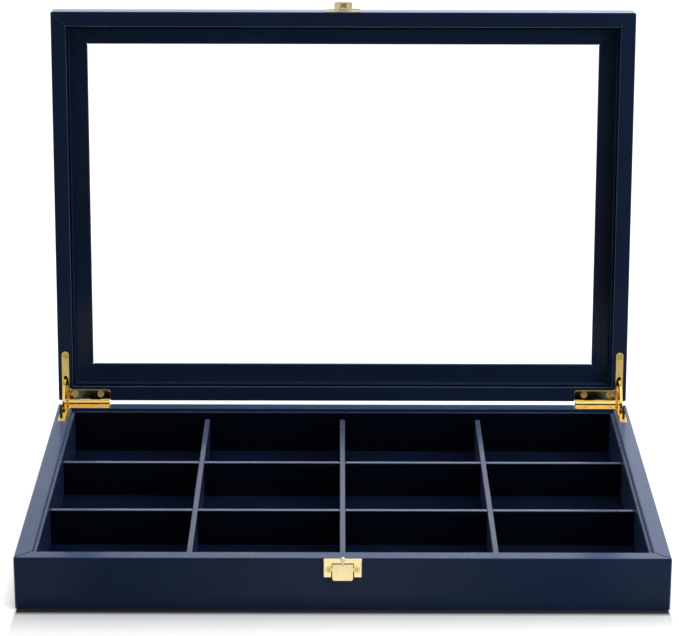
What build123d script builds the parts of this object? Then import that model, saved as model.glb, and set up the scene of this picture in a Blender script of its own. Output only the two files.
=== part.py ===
from build123d import *

import os
from math import asin, cos, degrees, radians, sin, sqrt

# A jewelry display tray: a leatherette-wrapped box with a grid of twelve compartments under a
# hinged lid with a glass window, stored open on its two stay hinges, as for display.
# X runs along the width, Y from front to back and Z up. The origin is the middle of the underside.

# Outer sizes of the closed tray, and the angle at which the stay arms hold the lid
tray_width = 350.0
tray_depth = 240.0
base_height = 30.0
lid_height = 14.7
closing_gap = 0.3
open_angle = 95.0

# Mitred walls: a board core wrapped in leatherette on every side that shows
wall = 9.0
cover = 0.8
rim_round = 1.0
hem_round = 0.5
corner_round = 1.2

# Floor of the base: felt, bottom board let into the walls, and a suede lining
felt = 0.5
felt_inset = 3.0
felt_corner = 4.0
bottom_board_thickness = 2.2
rabbet_width = 4.0
board_play = 0.2
lining = 0.5

# Liner strips round the inside, and the dividers that halve into each other
liner = 2.0
liner_drop = 1.6
liner_round = 0.7
end_play = 0.1
divider = 3.0
divider_drop = 6.2
divider_round = 1.0
divider_play = 0.15
lap_play = 0.1
columns = 4
rows = 3

# Lid frame: how far it reaches in over the window, its glass, and the strips that hold the glass
frame_width = 20.7
frame_thickness = 3.0
window_round = 0.8
glass_thickness = 2.0
glass_play = 0.5
retainer = 1.2
retainer_drop = 1.6

# Hinge barrel on its axis behind the back face; the seams are distances from the side face
axis_offset = 1.2
barrel_radius = 2.0
barrel_seams = (2.7, 7.1, 12.8, 19.6, 26.0, 31.3)
knuckle_play = 0.1
barrel_play = 0.3
pin_radius = 1.0
pin_fit = 0.05
pin_head_radius = 1.35
pin_head = 0.35

# Hinge leaves, flush in the rims: a leg along the back and a leg along the side
leaf_thickness = 1.5
leaf_bevel = 0.4
mortise_play = 0.1
back_leg_end = 32.2
back_leg_reach = 8.5
back_leg_round = 2.0
side_leg_inset = 1.9
side_leg_width = 5.2
side_leg_reach = 32.5
inner_corner_round = 0.8
leaf_slot_width = 2.0
leaf_slot_start = 11.0
leaf_slot_end = 16.9

# Countersunk screws through the leaves
leaf_screw_setbacks = (10.5, 26.0)
leaf_screw_reach = 5.6
side_screw_reach = 29.6
hinge_head_radius = 2.0
hinge_shank_radius = 1.0
hinge_screw_length = 8.0
screw_fit = 0.05

# Cross recess in every screw head, as shares of the head's radius
recess_length_share = 1.1
recess_width_share = 0.26
recess_depth_share = 0.4
recess_angles = (45, 135)

# Stay arm: a curved bar round the hinge axis with a cross pin at each end
arm_radius = 13.5
arm_width = 4.0
arm_thickness = 1.6
cross_pin_radius = 1.0
cross_pin_length = 3.6
stop_play = 0.09
arm_share = 0.58
pocket_play = 0.5
pocket_width = 4.0
pocket_mouth_angle = 6.0

# Latch on the front of the base: plate, sprung lever with a ball, and its pivot pin
plate_half_width = 10.4
plate_top = 30.0
plate_height = 10.8
plate_thickness = 1.0
plate_round = 0.8
plate_bevel = 0.45
window_play = 0.2
tab_half_width = 5.5
tab_bottom = 18.2
tab_top = 27.0
tab_thickness = 1.0
tab_play = 0.15
tab_flare = 1.3
tab_corner = 1.2
pivot_height = 26.4
pivot_depth = 0.9
pivot_radius = 0.6
pivot_fit = 0.05
knuckle_radius = 1.1
lug_thickness = 0.8
lug_reach = 2.2
stem_radius = 0.6
stem_bend = 0.9
stem_foot_out = 0.9
stem_foot_height = 26.0
stem_rise_height = 27.8
ball_radius = 1.35
ball_out = 3.2
ball_height = 30.85
spring_strip = 0.25
spring_half_width = 1.5
spring_top = 24.6
spring_bend = 21.0
spring_foot = 19.2
spring_gap = 0.1
latch_screw_spread = 7.25
latch_screw_height = 24.0
latch_head_radius = 1.85
latch_shank_radius = 0.85
latch_screw_length = 6.0
latch_pocket_play = 0.15

# Keeper on the front of the lid: plate, hood over the ball, and the tongue the ball snaps into
keeper_half_width = 10.5
keeper_start = 0.6
keeper_length = 10.0
keeper_thickness = 1.1
hood_half_width = 5.3
hood_start = 0.3
hood_length = 6.2
hood_height = 5.95
hood_round = 1.2
hood_wall = 0.6
mouth_half_width = 1.9
mouth_depth = 4.2
tongue_thickness = 0.6
tongue_reach = 0.9
tongue_half_width = 1.7
tongue_round = 0.6
relief_half_width = 2.9
relief_height = 0.5
seat_radius = 1.05
ball_fit = 0.05
keeper_screw_spread = 7.9
keeper_screw_reach = 5.6

# What follows from the sizes above
inner_width = tray_width - 2 * wall
inner_depth = tray_depth - 2 * wall
board_top = felt + bottom_board_thickness
floor_top = board_top + lining
liner_top = base_height - liner_drop
divider_top = base_height - divider_drop
well_width = inner_width - 2 * liner
well_depth = inner_depth - 2 * liner
column_pitch = (well_width + divider) / columns
row_pitch = (well_depth + divider) / rows
rim_level = closing_gap / 2
lid_top = rim_level + lid_height
frame_level = lid_top - frame_thickness
axis_y = tray_depth / 2 + axis_offset
axis_z = base_height + rim_level
side_leg_middle = side_leg_inset + side_leg_width / 2

# Each half has a plane on the hinge axis: y points to the back, and z from the rim into the half
axis_point = (0, axis_y, axis_z)
base_half = Plane(origin=axis_point, x_dir=(-1, 0, 0), z_dir=(0, 0, -1))
lid_half = Plane(
    origin=axis_point,
    x_dir=(1, 0, 0),
    z_dir=(0, sin(radians(open_angle)), cos(radians(open_angle))),
)
halves = {"base": (base_half, -1), "lid": (lid_half, 1)}
hands = {"left": -1, "right": 1}

# Each side of the box: its run, and the size of the box across it
runs = {"front": tray_width, "right": tray_depth, "back": tray_width, "left": tray_depth}
reaches = {"front": tray_depth, "right": tray_width, "back": tray_depth, "left": tray_width}

centred = (Align.CENTER, Align.CENTER, Align.MIN)


def save(piece, name):
    """Label a finished piece and write its file."""
    piece.part.label = name
    export_step(piece.part, f"parts/{name}.step")


def moved(plane, x, y, z):
    """The same plane with its origin at a point given in the plane's own coordinates."""
    return Plane(origin=plane.from_local_coords((x, y, z)), x_dir=plane.x_dir, z_dir=plane.z_dir)


base_plan = Plane.XY
lid_plan = moved(lid_half, 0, -(axis_offset + tray_depth / 2), 0)


def turned(plan, side):
    """The same plane turned about its own z, so that its x runs along a side."""
    along = {"front": plan.x_dir, "right": plan.y_dir, "back": -plan.x_dir, "left": -plan.y_dir}
    return Plane(origin=plan.origin, x_dir=along[side], z_dir=plan.z_dir)


def section_plane(plan, side):
    """Plane across one wall at the start of its run: x goes inward, y up through the wall."""
    facing = turned(plan, side)
    start = facing.from_local_coords((-runs[side] / 2, -reaches[side] / 2, 0))
    return Plane(origin=start, x_dir=facing.y_dir, z_dir=facing.x_dir)


def mitre_outline(plan, side, width, rounding):
    """Plan outline of one mitred wall: a trapezoid whose ends run in at 45 degrees."""
    outer = runs[side] / 2
    edge = -reaches[side] / 2
    with BuildSketch(turned(plan, side)) as outline:
        with BuildLine():
            Polyline(
                (-outer, edge),
                (outer, edge),
                (outer - width, edge + width),
                (-outer + width, edge + width),
                close=True,
            )
        make_face()
        if rounding:
            RectangleRounded(2 * outer, -2 * edge, rounding, mode=Mode.INTERSECT)
    return outline.sketch


# Walls of the base


def base_core_section(side):
    """Board section: the wall less its leatherette, with a rabbet for the bottom board."""
    with BuildSketch(section_plane(base_plan, side)) as section:
        with Locations((cover, felt + cover)):
            Rectangle(wall - 2 * cover, base_height - felt - 2 * cover, align=Align.MIN)
        with Locations((wall - rabbet_width, felt)):
            Rectangle(rabbet_width, bottom_board_thickness, align=Align.MIN, mode=Mode.SUBTRACT)
    return section.sketch


def base_cover_section(side):
    """Leatherette section: round the rim and both faces, and turned under the wall."""
    with BuildSketch(section_plane(base_plan, side)) as section:
        with Locations((0, felt)):
            Rectangle(wall, base_height - felt, align=Align.MIN)
        fillet(section.vertices().group_by(Axis.Y)[-1], rim_round)
        fillet(section.vertices().group_by(Axis.Y)[0].sort_by(Axis.X)[0], hem_round)
        with Locations((cover, felt + cover)):
            Rectangle(
                wall - 2 * cover,
                base_height - felt - 2 * cover,
                align=Align.MIN,
                mode=Mode.SUBTRACT,
            )
        with Locations((wall - rabbet_width, felt)):
            Rectangle(rabbet_width, bottom_board_thickness, align=Align.MIN, mode=Mode.SUBTRACT)
    return section.sketch


# Walls and window frame of the lid


def lid_core_section(side):
    """Lid board section: an L, with its foot reaching in over the glass."""
    with BuildSketch(section_plane(lid_plan, side)) as section:
        with Locations((cover, rim_level + cover)):
            Rectangle(wall - 2 * cover, lid_height - 2 * cover, align=Align.MIN)
        with Locations((cover, frame_level + cover)):
            Rectangle(frame_width - 2 * cover, frame_thickness - 2 * cover, align=Align.MIN)
    return section.sketch


def lid_cover_section(side):
    """Lid leatherette section: the rounded L less its board."""
    window_edge = (frame_width, frame_level)
    with BuildSketch(section_plane(lid_plan, side)) as section:
        with Locations((0, rim_level)):
            Rectangle(wall, lid_height, align=Align.MIN)
        with Locations((0, frame_level)):
            Rectangle(frame_width, frame_thickness, align=Align.MIN)
        fillet(section.vertices().group_by(Axis.Y)[0], rim_round)
        fillet(section.vertices().group_by(Axis.Y)[-1].sort_by(Axis.X)[0], rim_round)
        fillet(section.vertices().group_by(Axis.X)[-1], window_round)
        with Locations((cover, rim_level + cover)):
            Rectangle(
                wall - 2 * cover, lid_height - 2 * cover, align=Align.MIN, mode=Mode.SUBTRACT
            )
        with Locations((cover, frame_level + cover)):
            Rectangle(
                frame_width - 2 * cover,
                frame_thickness - 2 * cover,
                align=Align.MIN,
                mode=Mode.SUBTRACT,
            )
    return section.sketch


# Hinge hardware


def across(distance, sign):
    """Place across a half's plane of a point that far in from the side face."""
    return sign * (tray_width / 2 - distance)


def barrel_plane(half):
    """Plane across the hinge axis of one half: x to the back, y into the half."""
    return Plane(origin=half.origin, x_dir=half.y_dir, z_dir=half.x_dir)


def span_start(first, last, sign):
    """Lower end, along a half's x, of a span between two distances from the side face."""
    return min(across(first, sign), across(last, sign))


def leaf_outline(half, sign, level, play):
    """Plan of a leaf in its rim, grown all round by the play."""
    leg_length = back_leg_end - side_leg_inset
    corner = (across(back_leg_end + play, sign), -(back_leg_reach + play))
    elbow = (across(side_leg_inset + side_leg_width + play, sign), -(back_leg_reach + play))
    end_radius = side_leg_width / 2 + play
    end_reach = side_leg_reach - side_leg_width / 2
    with BuildSketch(half.offset(level)) as outline:
        with Locations((across(side_leg_inset + leg_length / 2, sign), -back_leg_reach / 2)):
            Rectangle(leg_length + 2 * play, back_leg_reach + 2 * play)
        with Locations((across(side_leg_middle, sign), -end_reach / 2)):
            Rectangle(2 * end_radius, end_reach)
        with Locations((across(side_leg_middle, sign), -end_reach)):
            Circle(end_radius)
        fillet(outline.vertices().sort_by_distance(corner)[0], back_leg_round)
        fillet(outline.vertices().sort_by_distance(elbow)[0], inner_corner_round)
    return outline.sketch


def leaf_screw_spots(sign):
    """Centres of a leaf's three screws in its half's plane."""
    back = [(across(setback, sign), -leaf_screw_reach) for setback in leaf_screw_setbacks]
    return back + [(across(side_leg_middle, sign), -side_screw_reach)]


def arc_bar(half, sign, width, thickness, first, last):
    """Profile of a bar bent round the hinge axis with round ends, and the place it starts from.

    The angles are measured round the axis from the front, into the half.
    """
    start = radians(180 - last)
    end = radians(180 - first)
    outer = arm_radius + width / 2
    inner = arm_radius - width / 2
    start_tip = (
        arm_radius * cos(start) + width / 2 * sin(start),
        arm_radius * sin(start) - width / 2 * cos(start),
    )
    end_tip = (
        arm_radius * cos(end) - width / 2 * sin(end),
        arm_radius * sin(end) + width / 2 * cos(end),
    )
    edge = span_start(side_leg_middle - thickness / 2, side_leg_middle + thickness / 2, sign)
    with BuildSketch(barrel_plane(half).offset(edge)) as profile:
        with BuildLine():
            outer_arc = CenterArc((0, 0), outer, 180 - last, last - first)
            inner_arc = CenterArc((0, 0), inner, 180 - last, last - first)
            ThreePointArc(inner_arc @ 0, start_tip, outer_arc @ 0)
            ThreePointArc(inner_arc @ 1, end_tip, outer_arc @ 1)
        make_face()
    return profile.sketch


# Angle at which a cross pin comes to rest under its leaf, and how far each half swallows the arm
stop_depth = rim_level + leaf_thickness + cross_pin_radius + stop_play
stop_angle = degrees(asin(stop_depth / arm_radius))
base_swing = arm_share * open_angle
lid_swing = open_angle - base_swing
swings = {"base": base_swing, "lid": lid_swing}


def hinge_recess(half_name, hand):
    """Everything that one hinge needs cut from a half: mortise, barrel room, pocket, pilot holes."""
    half, facing = halves[half_name]
    sign = facing * hands[hand]
    first_seam = barrel_seams[0] - pin_head - barrel_play
    last_seam = barrel_seams[-1] + pin_head + barrel_play
    deepest = stop_angle + swings[half_name]
    mortise_level = rim_level - rim_round
    with BuildPart() as recess:
        mortise = leaf_outline(half, sign, mortise_level, mortise_play)
        extrude(mortise, amount=leaf_thickness + rim_round)
        with BuildSketch(barrel_plane(half).offset(span_start(first_seam, last_seam, sign))):
            Circle(barrel_radius + barrel_play)
        extrude(amount=last_seam - first_seam)
        pocket = arc_bar(
            half, sign, arm_width + 2 * pocket_play, pocket_width, -pocket_mouth_angle, deepest
        )
        extrude(pocket, amount=pocket_width)
        with BuildSketch(half.offset(rim_level)):
            with Locations(*leaf_screw_spots(sign)):
                Circle(hinge_shank_radius + screw_fit)
        extrude(amount=hinge_screw_length + screw_fit)
    return recess


def screw_holes(plane, spots, head_radius, shank_radius, thickness):
    """Countersunk holes for such screws through a plate."""
    with BuildPart() as holes:
        with Locations(plane):
            with Locations(*spots):
                Cone(
                    head_radius + screw_fit,
                    shank_radius + screw_fit,
                    head_radius - shank_radius,
                    align=centred,
                )
                Cylinder(shank_radius + screw_fit, thickness, align=centred)
    return holes


def hinge_leaf(half_name, hand):
    """One leaf: an L plate with its knuckles rolled on the back edge, a slot and screw holes."""
    half, facing = halves[half_name]
    sign = facing * hands[hand]
    spans = list(zip(barrel_seams[:-1], barrel_seams[1:]))
    own = spans[0::2] if half_name == "base" else spans[1::2]
    others = spans[1::2] if half_name == "base" else spans[0::2]
    ends = [(0, barrel_seams[0]), (barrel_seams[-1], 2 * back_leg_end)]
    slot_length = leaf_slot_end - leaf_slot_start
    outline = leaf_outline(half, sign, rim_level, 0)
    holes = screw_holes(
        half.offset(rim_level),
        leaf_screw_spots(sign),
        hinge_head_radius,
        hinge_shank_radius,
        leaf_thickness,
    )
    with BuildPart() as leaf:
        extrude(outline, amount=leaf_thickness)
        rim_face = leaf.faces().filter_by(Plane(origin=half.origin, z_dir=half.z_dir))
        shown = rim_face.sort_by_distance(half.origin)[0]
        chamfer(shown.edges(), leaf_bevel)
        for low, high in ends + [(first - knuckle_play, last + knuckle_play) for first, last in others]:
            with BuildSketch(barrel_plane(half).offset(span_start(low, high, sign))):
                Circle(barrel_radius + barrel_play)
            extrude(amount=high - low, mode=Mode.SUBTRACT)
        for first, last in own:
            low = first + knuckle_play / 2
            high = last - knuckle_play / 2
            with BuildSketch(barrel_plane(half).offset(span_start(low, high, sign))):
                Circle(barrel_radius)
            extrude(amount=high - low)
        with BuildSketch(barrel_plane(half).offset(span_start(0, back_leg_end, sign))):
            Circle(pin_radius + pin_fit)
        extrude(amount=back_leg_end, mode=Mode.SUBTRACT)
        with BuildSketch(half.offset(rim_level)):
            with Locations((across(side_leg_middle, sign), -leaf_slot_start - slot_length / 2)):
                Rectangle(leaf_slot_width, slot_length)
        extrude(amount=leaf_thickness, mode=Mode.SUBTRACT)
        add(holes.part, mode=Mode.SUBTRACT)
    return leaf


def countersunk_screws(plane, spots, head_radius, shank_radius, length):
    """Flat-head screws driven along the plane's z at the spots, with cross recesses."""
    recess_length = head_radius * recess_length_share
    recess_width = head_radius * recess_width_share
    recess_depth = head_radius * recess_depth_share
    with BuildPart() as screws:
        with Locations(plane):
            with Locations(*spots):
                Cone(head_radius, shank_radius, head_radius - shank_radius, align=centred)
                Cylinder(shank_radius, length, align=centred)
                for angle in recess_angles:
                    Box(
                        recess_length,
                        recess_width,
                        recess_depth,
                        align=centred,
                        rotation=(0, 0, angle),
                        mode=Mode.SUBTRACT,
                    )
    return screws


# Latch and keeper planes: x along the front, y up through the half, z straight out of its front
latch_plane = Plane(origin=(0, -tray_depth / 2, 0), x_dir=(1, 0, 0), z_dir=(0, -1, 0))
latch_side = Plane(origin=(0, -tray_depth / 2, 0), x_dir=(0, -1, 0), z_dir=(-1, 0, 0))
keeper_origin = lid_half.from_local_coords((0, -(axis_offset + tray_depth), 0))
keeper_plane = Plane(origin=keeper_origin, x_dir=(1, 0, 0), z_dir=-lid_half.y_dir)
keeper_end = Plane(origin=keeper_origin, x_dir=(1, 0, 0), z_dir=-lid_half.z_dir)

latch_face = Plane(
    origin=latch_plane.from_local_coords((0, 0, plate_thickness)),
    x_dir=-latch_plane.x_dir,
    z_dir=-latch_plane.z_dir,
)
keeper_face = Plane(
    origin=keeper_plane.from_local_coords((0, 0, keeper_thickness)),
    x_dir=-keeper_plane.x_dir,
    z_dir=-keeper_plane.z_dir,
)

latch_spots = [(-latch_screw_spread, latch_screw_height), (latch_screw_spread, latch_screw_height)]
keeper_spots = [
    (-keeper_screw_spread, keeper_screw_reach),
    (keeper_screw_spread, keeper_screw_reach),
]
window_half_width = tab_half_width + window_play
window_top = tab_top + window_play


def latch_recess():
    """Pocket behind the latch for its knuckle and lugs, and the pilot holes of its screws."""
    pocket_half_width = window_half_width + lug_thickness + latch_pocket_play
    pocket_half_height = knuckle_radius + 2 * latch_pocket_play
    pocket_depth = lug_reach + latch_pocket_play
    with BuildPart() as recess:
        with BuildSketch(latch_plane.offset(-pocket_depth)):
            with Locations((0, pivot_height)):
                Rectangle(2 * pocket_half_width, 2 * pocket_half_height)
        extrude(amount=pocket_depth + plate_thickness)
        with BuildSketch(latch_plane.offset(-latch_screw_length)):
            with Locations(*latch_spots):
                Circle(latch_shank_radius + screw_fit)
        extrude(amount=latch_screw_length + plate_thickness)
    return recess


def keeper_recess():
    """Pilot holes of the keeper's screws."""
    with BuildPart() as recess:
        with BuildSketch(keeper_plane.offset(-latch_screw_length)):
            with Locations(*keeper_spots):
                Circle(latch_shank_radius + screw_fit)
        extrude(amount=latch_screw_length + keeper_thickness)
    return recess


recesses = {
    "base": {
        "front": [latch_recess()],
        "back": [hinge_recess("base", "left"), hinge_recess("base", "right")],
        "left": [hinge_recess("base", "left")],
        "right": [hinge_recess("base", "right")],
    },
    "lid": {
        "front": [keeper_recess()],
        "back": [hinge_recess("lid", "left"), hinge_recess("lid", "right")],
        "left": [hinge_recess("lid", "left")],
        "right": [hinge_recess("lid", "right")],
    },
}

# Base: four mitred boards and the leatherette strips that wrap them
for side, run in runs.items():
    core = base_core_section(side)
    skin = base_cover_section(side)
    core_plan = mitre_outline(base_plan, side, wall, 0)
    skin_plan = mitre_outline(base_plan, side, wall, corner_round)
    with BuildPart() as board:
        extrude(core, amount=run)
        extrude(core_plan, amount=base_height, mode=Mode.INTERSECT)
        for tool in recesses["base"][side]:
            add(tool.part, mode=Mode.SUBTRACT)
    save(board, f"base_{side}_board")
    with BuildPart() as strip:
        extrude(skin, amount=run)
        extrude(skin_plan, amount=base_height, mode=Mode.INTERSECT)
        for tool in recesses["base"][side]:
            add(tool.part, mode=Mode.SUBTRACT)
    save(strip, f"base_{side}_cover")

# Lid: four mitred rails with the window frame on them, and their leatherette
for side, run in runs.items():
    core = lid_core_section(side)
    skin = lid_cover_section(side)
    core_plan = mitre_outline(lid_plan, side, frame_width, 0)
    skin_plan = mitre_outline(lid_plan, side, frame_width, corner_round)
    with BuildPart() as rail:
        extrude(core, amount=run)
        extrude(core_plan, amount=lid_top, mode=Mode.INTERSECT)
        for tool in recesses["lid"][side]:
            add(tool.part, mode=Mode.SUBTRACT)
    save(rail, f"lid_{side}_rail")
    with BuildPart() as strip:
        extrude(skin, amount=run)
        extrude(skin_plan, amount=lid_top, mode=Mode.INTERSECT)
        for tool in recesses["lid"][side]:
            add(tool.part, mode=Mode.SUBTRACT)
    save(strip, f"lid_{side}_cover")

# Felt that the tray stands on
with BuildPart() as underside_felt:
    with BuildSketch():
        RectangleRounded(tray_width - 2 * felt_inset, tray_depth - 2 * felt_inset, felt_corner)
    extrude(amount=felt)
save(underside_felt, "underside_felt")

# Bottom board in the rabbets of the walls
board_margin = 2 * (wall - rabbet_width + board_play)
with BuildPart() as bottom_board:
    with BuildSketch(Plane.XY.offset(felt)):
        Rectangle(tray_width - board_margin, tray_depth - board_margin)
    extrude(amount=bottom_board_thickness)
save(bottom_board, "bottom_board")

# Suede lining glued on the bottom board
with BuildPart() as floor_lining:
    with BuildSketch(Plane.XY.offset(board_top)):
        Rectangle(inner_width - 2 * board_play, inner_depth - 2 * board_play)
    extrude(amount=lining)
save(floor_lining, "floor_lining")

# Liner strips: the long pair reaches from wall to wall, and the short pair fits between them
liner_spots = {
    "front": (0, -(inner_depth - liner) / 2, inner_width - 2 * end_play, liner),
    "back": (0, (inner_depth - liner) / 2, inner_width - 2 * end_play, liner),
    "left": (-(inner_width - liner) / 2, 0, liner, well_depth - 2 * end_play),
    "right": ((inner_width - liner) / 2, 0, liner, well_depth - 2 * end_play),
}
for side, (x, y, width, depth) in liner_spots.items():
    run_axis = Axis.X if width > depth else Axis.Y
    with BuildPart() as strip:
        with BuildSketch(Plane.XY.offset(floor_top)):
            with Locations((x, y)):
                Rectangle(width, depth)
        extrude(amount=liner_top - floor_top)
        top_edges = strip.edges().group_by(Axis.Z)[-1].filter_by(run_axis)
        fillet(top_edges, liner_round)
    save(strip, f"liner_{side}")

# Dividers: those from front to back are notched from below, those across from above
divider_height = divider_top - floor_top
half_height = divider_height / 2
notch_width = divider + 2 * lap_play
column_lines = {"left": -column_pitch, "centre": 0.0, "right": column_pitch}
row_lines = {"front": -row_pitch / 2, "back": row_pitch / 2}
for name, x in column_lines.items():
    with BuildPart() as long_divider:
        with BuildSketch(Plane.XY.offset(floor_top)):
            with Locations((x, 0)):
                Rectangle(divider, well_depth - 2 * divider_play)
        extrude(amount=divider_height)
        fillet(long_divider.edges().group_by(Axis.Z)[-1].filter_by(Axis.Y), divider_round)
        with BuildSketch(Plane.XY.offset(floor_top)):
            with Locations(*[(x, y) for y in row_lines.values()]):
                Rectangle(divider, notch_width)
        extrude(amount=half_height + lap_play / 2, mode=Mode.SUBTRACT)
    save(long_divider, f"long_divider_{name}")
for name, y in row_lines.items():
    with BuildPart() as cross_divider:
        with BuildSketch(Plane.XY.offset(floor_top)):
            with Locations((0, y)):
                Rectangle(well_width - 2 * divider_play, divider)
        extrude(amount=divider_height)
        fillet(cross_divider.edges().group_by(Axis.Z)[-1].filter_by(Axis.X), divider_round)
        with BuildSketch(Plane.XY.offset(floor_top + half_height - lap_play / 2)):
            with Locations(*[(x, y) for x in column_lines.values()]):
                Rectangle(notch_width, divider)
        extrude(amount=half_height + lap_play, mode=Mode.SUBTRACT)
    save(cross_divider, f"cross_divider_{name}")

# Glass pane, laid on the window frame from inside the lid
with BuildPart() as lid_glass:
    with BuildSketch(lid_plan.offset(frame_level - glass_thickness)):
        Rectangle(inner_width - 2 * glass_play, inner_depth - 2 * glass_play)
    extrude(amount=glass_thickness)
save(lid_glass, "lid_glass")

# Strips pressed in along the lid's walls to hold the glass down
retainer_level = rim_level + retainer_drop
retainer_height = frame_level - glass_thickness - retainer_level
short_run = inner_depth - 2 * retainer - 2 * end_play
retainer_spots = {
    "front": (0, -(inner_depth - retainer) / 2, inner_width - 2 * end_play, retainer),
    "back": (0, (inner_depth - retainer) / 2, inner_width - 2 * end_play, retainer),
    "left": (-(inner_width - retainer) / 2, 0, retainer, short_run),
    "right": ((inner_width - retainer) / 2, 0, retainer, short_run),
}
for side, (x, y, width, depth) in retainer_spots.items():
    with BuildPart() as strip:
        with BuildSketch(lid_plan.offset(retainer_level)):
            with Locations((x, y)):
                Rectangle(width, depth)
        extrude(amount=retainer_height)
    save(strip, f"glass_retainer_{side}")

# Hinges: two leaves, a pin and a stay arm on each side
for hand, sign in hands.items():
    save(hinge_leaf("base", hand), f"base_hinge_leaf_{hand}")
    save(hinge_leaf("lid", hand), f"lid_hinge_leaf_{hand}")
    pin_plane = barrel_plane(lid_half)
    barrel_start = span_start(barrel_seams[0], barrel_seams[-1], sign)
    barrel_length = barrel_seams[-1] - barrel_seams[0]
    with BuildPart() as hinge_pin:
        with BuildSketch(pin_plane.offset(barrel_start)):
            Circle(pin_radius)
        extrude(amount=barrel_length)
        with BuildSketch(pin_plane.offset(barrel_start - pin_head)):
            Circle(pin_head_radius)
        extrude(amount=pin_head)
        with BuildSketch(pin_plane.offset(barrel_start + barrel_length)):
            Circle(pin_head_radius)
        extrude(amount=pin_head)
    save(hinge_pin, f"hinge_pin_{hand}")
    arm_sign = -sign
    pin_angle = open_angle + 2 * stop_angle
    arm_profile = arc_bar(
        base_half, arm_sign, arm_width, arm_thickness, -(open_angle + stop_angle), stop_angle
    )
    pin_edge = side_leg_middle - cross_pin_length / 2
    pin_start = span_start(pin_edge, pin_edge + cross_pin_length, arm_sign)
    with BuildPart() as stay_arm:
        extrude(arm_profile, amount=arm_thickness)
        with BuildSketch(barrel_plane(base_half).offset(pin_start)):
            with PolarLocations(arm_radius, 2, 180 - stop_angle, pin_angle, endpoint=True):
                Circle(cross_pin_radius)
        extrude(amount=cross_pin_length)
    save(stay_arm, f"stay_arm_{hand}")

# Screws of all four leaves, those of the base and those of the lid as one group each
for half_name, (half, facing) in halves.items():
    spots = leaf_screw_spots(-1) + leaf_screw_spots(1)
    screws = countersunk_screws(
        half.offset(rim_level), spots, hinge_head_radius, hinge_shank_radius, hinge_screw_length
    )
    save(screws, f"{half_name}_hinge_screws")

# Latch plate: an upturned U on the front, with two lugs behind it that hold the pivot pin
latch_holes = screw_holes(
    latch_face, latch_spots, latch_head_radius, latch_shank_radius, plate_thickness
)
with BuildPart() as latch_plate:
    with BuildSketch(latch_plane):
        with Locations((0, plate_top - plate_height / 2)):
            RectangleRounded(2 * plate_half_width, plate_height, plate_round)
        with Locations((0, window_top)):
            Rectangle(
                2 * window_half_width,
                plate_height,
                align=(Align.CENTER, Align.MAX),
                mode=Mode.SUBTRACT,
            )
    extrude(amount=plate_thickness)
    chamfer(latch_plate.faces().sort_by(Axis.Y)[0].edges(), plate_bevel)
    with BuildSketch(latch_side.offset(window_half_width)):
        with Locations((-lug_reach, pivot_height)):
            Rectangle(
                lug_reach + plate_thickness / 2,
                2 * knuckle_radius,
                align=(Align.MIN, Align.CENTER),
            )
    extrude(amount=lug_thickness)
    mirror(latch_plate.part, about=Plane.YZ)
    with BuildSketch(latch_side):
        with Locations((-pivot_depth, pivot_height)):
            Circle(pivot_radius + pivot_fit / 2)
    extrude(amount=window_half_width + lug_thickness, both=True, mode=Mode.SUBTRACT)
    add(latch_holes.part, mode=Mode.SUBTRACT)
save(latch_plate, "latch_plate")

# Latch lever: a flared tab on a knuckle, with a stem and ball that snap into the keeper
with BuildPart() as latch_lever:
    with BuildSketch(latch_side):
        with BuildLine():
            Polyline(
                (tab_play, tab_top),
                (tab_play + tab_thickness, tab_top),
                (tab_play + tab_thickness + tab_flare, tab_bottom),
                (tab_play + tab_flare, tab_bottom),
                close=True,
            )
        make_face()
        with Locations((-pivot_depth, tab_top)):
            Rectangle(
                pivot_depth + tab_play + tab_thickness / 2,
                tab_top - pivot_height + knuckle_radius / 2,
                align=(Align.MIN, Align.MAX),
            )
        with Locations((-pivot_depth, pivot_height)):
            Circle(knuckle_radius)
            Circle(pivot_radius + pivot_fit, mode=Mode.SUBTRACT)
    extrude(amount=tab_half_width, both=True)
    with BuildSketch(latch_plane.offset(-tab_half_width)):
        with Locations((0, tab_bottom)):
            Rectangle(
                2 * tab_half_width, 2 * tab_half_width, align=(Align.CENTER, Align.MIN)
            )
        fillet(vertices().group_by(Axis.Y)[0], tab_corner)
    extrude(amount=2 * tab_half_width, mode=Mode.INTERSECT)
    with BuildLine(latch_side) as stem:
        FilletPolyline(
            (stem_foot_out, stem_foot_height),
            (ball_out, stem_rise_height),
            (ball_out, ball_height),
            radius=stem_bend,
        )
    with BuildSketch(Plane(origin=stem.line @ 0, z_dir=stem.line % 0)):
        Circle(stem_radius)
    sweep(path=stem.line)
    with Locations(latch_side.from_local_coords((ball_out, ball_height, 0))):
        Sphere(ball_radius)
save(latch_lever, "latch_lever")

# Pivot pin of the lever
pivot_half_length = window_half_width + lug_thickness
with BuildPart() as latch_pin:
    with BuildSketch(latch_side):
        with Locations((-pivot_depth, pivot_height)):
            Circle(pivot_radius)
    extrude(amount=pivot_half_length, both=True)
save(latch_pin, "latch_pin")

# Leaf spring between the wall and the foot of the tab
tab_back_at_foot = tab_play + tab_flare * (tab_top - spring_foot) / (tab_top - tab_bottom)
spring_tip = tab_back_at_foot - spring_gap
with BuildPart() as latch_spring:
    with BuildSketch(latch_side):
        with BuildLine():
            Polyline(
                (0, spring_top),
                (0, spring_bend),
                (spring_tip - spring_strip, spring_foot),
                (spring_tip, spring_foot),
                (spring_strip, spring_bend),
                (spring_strip, spring_top),
                close=True,
            )
        make_face()
    extrude(amount=spring_half_width, both=True)
save(latch_spring, "latch_spring")

# Screws of the latch plate
latch_screws = countersunk_screws(
    latch_face, latch_spots, latch_head_radius, latch_shank_radius, latch_screw_length
)
save(latch_screws, "latch_screws")

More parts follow.
